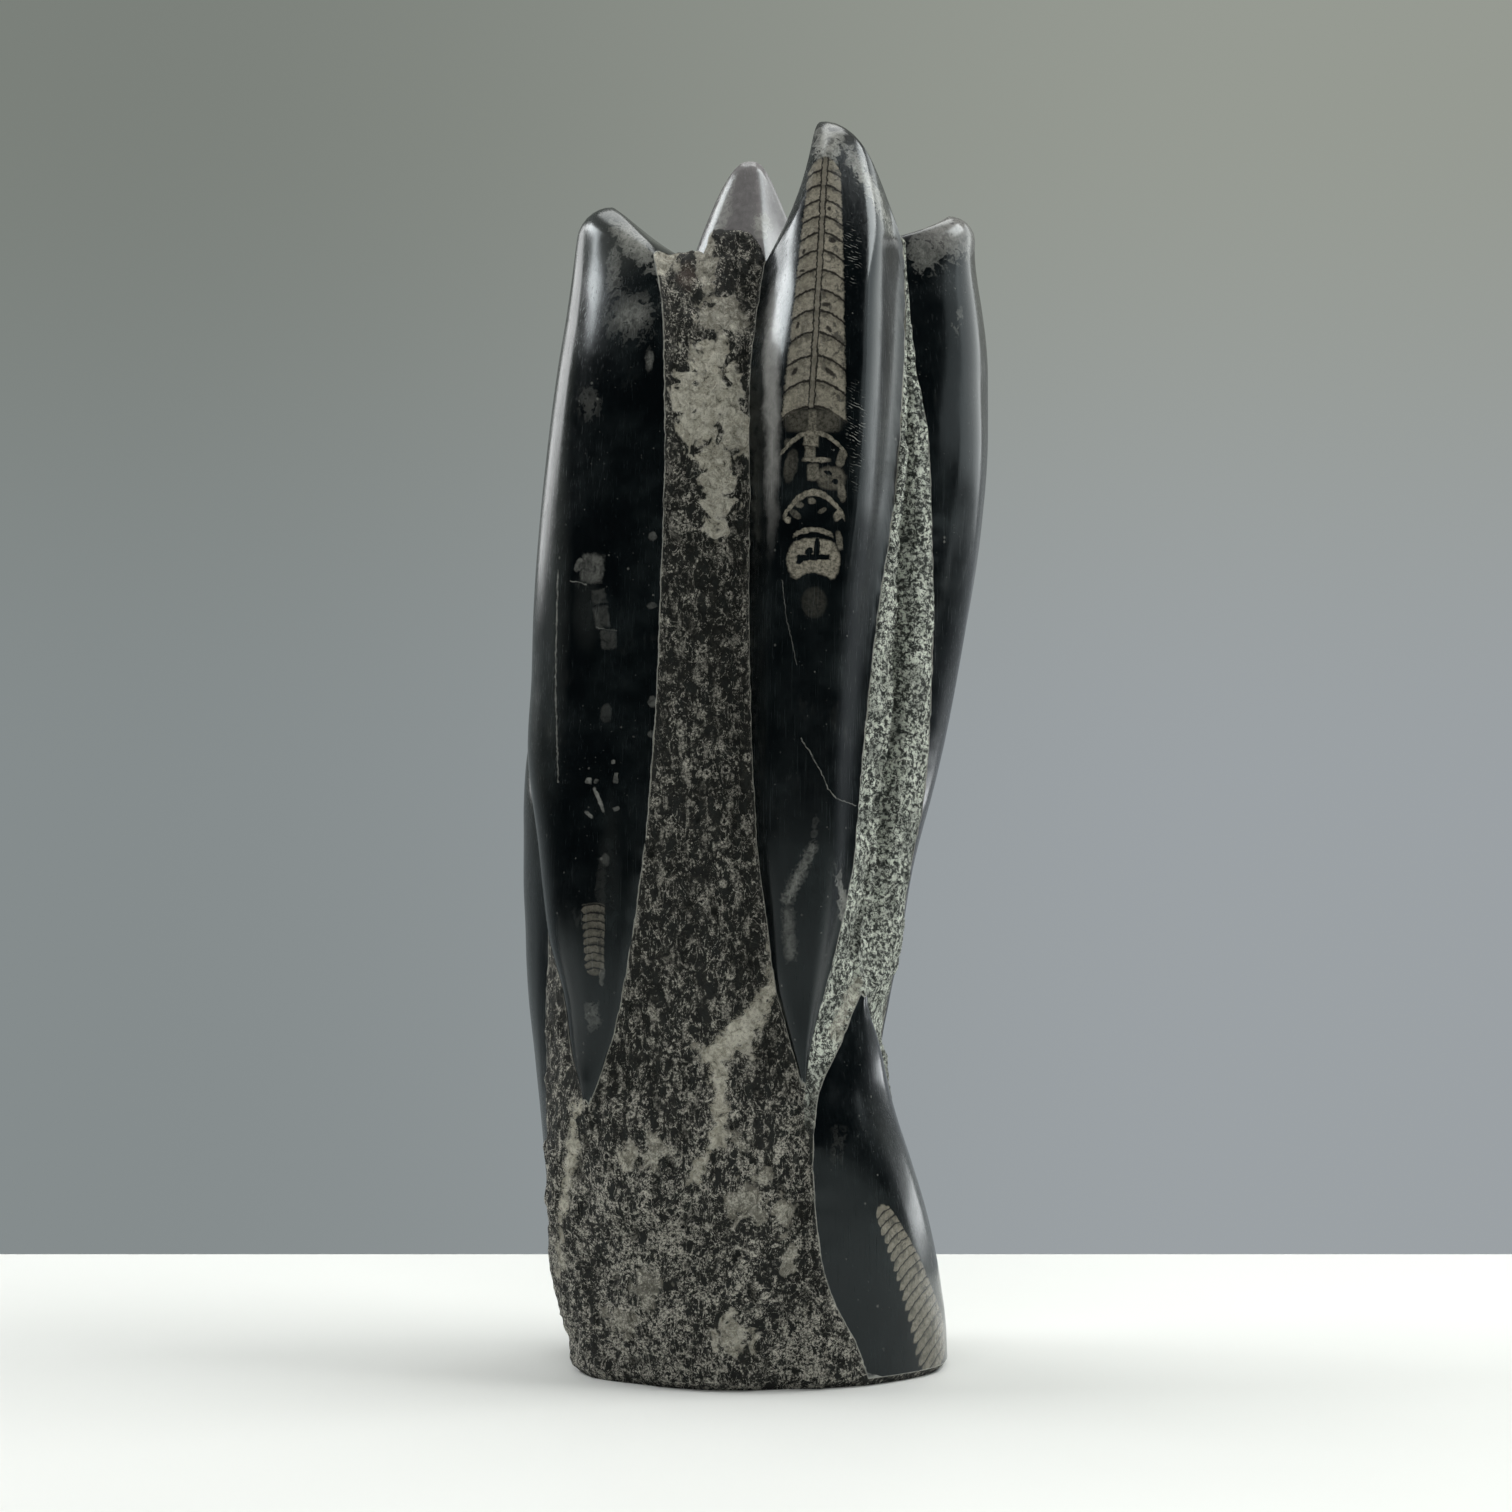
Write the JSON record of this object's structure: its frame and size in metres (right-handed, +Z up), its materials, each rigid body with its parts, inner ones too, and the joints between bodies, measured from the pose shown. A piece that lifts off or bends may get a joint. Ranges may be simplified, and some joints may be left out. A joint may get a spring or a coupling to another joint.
{
  "type": "orthoceras fossil tower",
  "caption": "Standing block of black fossil limestone, carved into polished upright ridges that end in rounded spires, with rough chiselled flutes between them and a flat base.",
  "frame": {"origin": "centre of the bounding box on the flat underside that the tower stands on", "axes": "+Z up along the tower, -Y to the front, the side with the large fossil"},
  "size_m": [0.182, 0.1356, 0.48],
  "materials": {
    "limestone": "polished ridges, rough chiselled flutes"
  },
  "bodies": {
    "root": {"orthoceras_tower": "limestone"}
  },
  "joints": []
}
